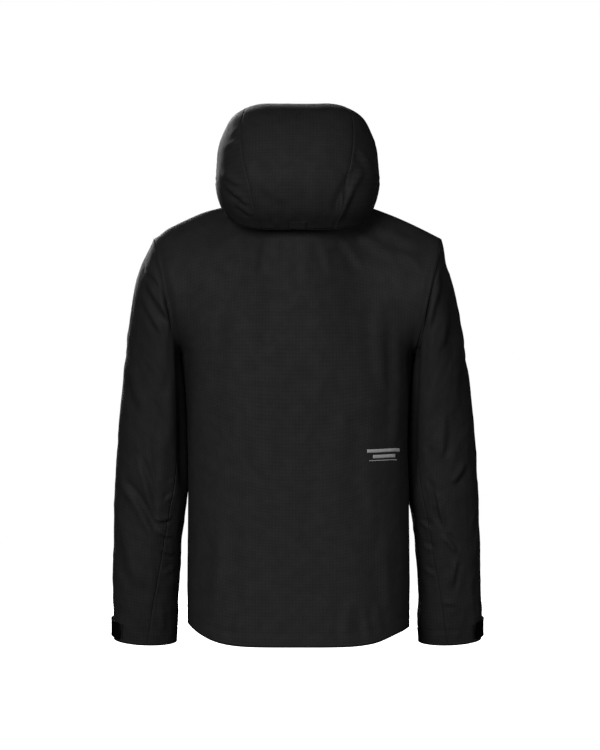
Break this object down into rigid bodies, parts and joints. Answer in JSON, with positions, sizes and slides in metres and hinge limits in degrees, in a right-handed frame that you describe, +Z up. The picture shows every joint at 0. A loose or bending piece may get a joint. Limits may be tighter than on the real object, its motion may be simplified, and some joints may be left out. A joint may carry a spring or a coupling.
{
  "type": "hardshell jacket",
  "caption": "Hooded waterproof shell jacket hanging upright, with a full front zip, zipped hand pockets, cuff tabs and a drawcord hem.",
  "frame": {"origin": "inside the centre back of the neck, at the hanger loop's gap", "axes": "+Z up, +Y out of the back of the jacket, +X towards the wearer's left sleeve"},
  "size_m": [0.6464, 0.3235, 0.9362],
  "materials": {
    "shell_fabric": "matte ripstop",
    "lining_fabric": "matte knit backer",
    "binding": "elastic binding",
    "zip_tape": "laminated tape",
    "zip_plastic": "moulded coil",
    "painted_slider": "satin black paint",
    "puller_rubber": "soft matte",
    "cuff_tab": "moulded tab",
    "hook_and_loop": "brushed loops",
    "spring_steel": "bright wire",
    "cord_lock_plastic": "moulded",
    "cord": "braided elastic",
    "reflective_film": "reflective grey film",
    "webbing": "woven tape"
  },
  "bodies": {
    "shell": {"back_panel": "shell_fabric", "front_panel_left": "shell_fabric", "front_panel_right": "shell_fabric", "collar_front_left": "shell_fabric", "collar_front_right": "shell_fabric", "collar_neck_panel": "shell_fabric", "inner_collar": "lining_fabric", "hem_facing": "lining_fabric", "hem_drawcord": "cord", "storm_flap": "lining_fabric", "zip_tape_left": "zip_tape", "zip_tape_right": "zip_tape", "zip_coil_left": "zip_plastic", "zip_coil_right": "zip_plastic", "zip_retainer_box": "zip_plastic", "zip_top_stops": "painted_slider", "zip_garage": "lining_fabric", "pocket_zip_tape_left": "zip_tape", "pocket_zip_tape_right": "zip_tape", "pocket_zip_coil_left": "zip_plastic", "pocket_zip_coil_right": "zip_plastic", "pocket_bag_left": "lining_fabric", "pocket_bag_right": "lining_fabric", "hanger_loop": "webbing", "neck_label": "webbing", "reflective_mark": "reflective_film", "cord_lock_left": "cord_lock_plastic", "cord_lock_right": "cord_lock_plastic", "cord_lock_spring_left": "spring_steel", "cord_lock_spring_right": "spring_steel"},
    "hood": {"hood_centre_panel": "shell_fabric", "hood_side_left": "shell_fabric", "hood_side_right": "shell_fabric", "hood_peak": "shell_fabric", "hood_edge_binding": "binding", "hood_back_tab": "webbing"},
    "sleeve_left": {"sleeve_upper_left": "shell_fabric", "sleeve_under_left": "shell_fabric", "cuff_facing_left": "lining_fabric", "cuff_loop_patch_left": "hook_and_loop"},
    "cuff_tab_left": {"cuff_tab_left": "cuff_tab", "cuff_hook_patch_left": "hook_and_loop"},
    "pocket_slider_left": {"pocket_slider_left": "painted_slider"},
    "pocket_puller_left": {"pocket_puller_left": "puller_rubber"},
    "cord_lock_button_left": {"cord_lock_button_left": "cord_lock_plastic"},
    "sleeve_right": {"sleeve_upper_right": "shell_fabric", "sleeve_under_right": "shell_fabric", "cuff_facing_right": "lining_fabric", "cuff_loop_patch_right": "hook_and_loop"},
    "cuff_tab_right": {"cuff_tab_right": "cuff_tab", "cuff_hook_patch_right": "hook_and_loop"},
    "pocket_slider_right": {"pocket_slider_right": "painted_slider"},
    "pocket_puller_right": {"pocket_puller_right": "puller_rubber"},
    "cord_lock_button_right": {"cord_lock_button_right": "cord_lock_plastic"},
    "zip_slider": {"zip_slider": "painted_slider"},
    "zip_puller": {"zip_puller": "puller_rubber"}
  },
  "joints": [
    {"name": "hood_fold", "type": "hinge", "parent": "shell", "child": "hood", "pos_m": [0, 0.036, -0.022], "axis": [-1, 0, 0], "range_deg": [0, 65]},
    {"name": "sleeve_swing_left", "type": "hinge", "parent": "shell", "child": "sleeve_left", "pos_m": [0.225, -0.088, -0.127], "axis": [-0.9759, 0, 0.2181], "range_deg": [-15, 45]},
    {"name": "sleeve_swing_right", "type": "hinge", "parent": "shell", "child": "sleeve_right", "pos_m": [-0.225, -0.088, -0.127], "axis": [-0.9759, 0, -0.2181], "range_deg": [-15, 45]},
    {"name": "zip_slide", "type": "slide", "parent": "shell", "child": "zip_slider", "axis": [0, 0.0715, 0.9974], "range_m": [-0.7, 0]},
    {"name": "zip_puller_swing", "type": "hinge", "parent": "zip_slider", "child": "zip_puller", "pos_m": [0, -0.18925, 0.03287], "axis": [-1, 0, 0], "range_deg": [0, 150]},
    {"name": "pocket_slide_left", "type": "slide", "parent": "shell", "child": "pocket_slider_left", "axis": [-0.055, -0.0173, 0.9983], "range_m": [-0.1331, 0]},
    {"name": "pocket_puller_swing_left", "type": "hinge", "parent": "pocket_slider_left", "child": "pocket_puller_left", "pos_m": [0.15304, -0.1915, -0.3054], "axis": [-0.7937, -0.6059, -0.0543], "range_deg": [0, 150]},
    {"name": "pocket_slide_right", "type": "slide", "parent": "shell", "child": "pocket_slider_right", "axis": [0.055, -0.0173, 0.9983], "range_m": [-0.1331, 0]},
    {"name": "pocket_puller_swing_right", "type": "hinge", "parent": "pocket_slider_right", "child": "pocket_puller_right", "pos_m": [-0.15304, -0.1915, -0.3054], "axis": [-0.7937, 0.6059, 0.0543], "range_deg": [0, 150]},
    {"name": "cuff_tab_peel_left", "type": "hinge", "parent": "sleeve_left", "child": "cuff_tab_left", "pos_m": [0.29108, -0.1944, -0.6768], "axis": [0.0045, -0.1162, -0.9932], "range_deg": [0, 70]},
    {"name": "cuff_tab_peel_right", "type": "hinge", "parent": "sleeve_right", "child": "cuff_tab_right", "pos_m": [-0.29108, -0.1944, -0.6768], "axis": [0.0045, 0.1162, 0.9932], "range_deg": [0, 70]},
    {"name": "cord_lock_press_left", "type": "slide", "parent": "shell", "child": "cord_lock_button_left", "axis": [0, 0, -1], "range_m": [0, 0.0035], "stiffness_N_per_m": 300, "springref_m": -0.002, "deforming": ["cord_lock_spring_left"]},
    {"name": "cord_lock_press_right", "type": "slide", "parent": "shell", "child": "cord_lock_button_right", "axis": [0, 0, -1], "range_m": [0, 0.0035], "stiffness_N_per_m": 300, "springref_m": -0.002, "deforming": ["cord_lock_spring_right"]}
  ]
}
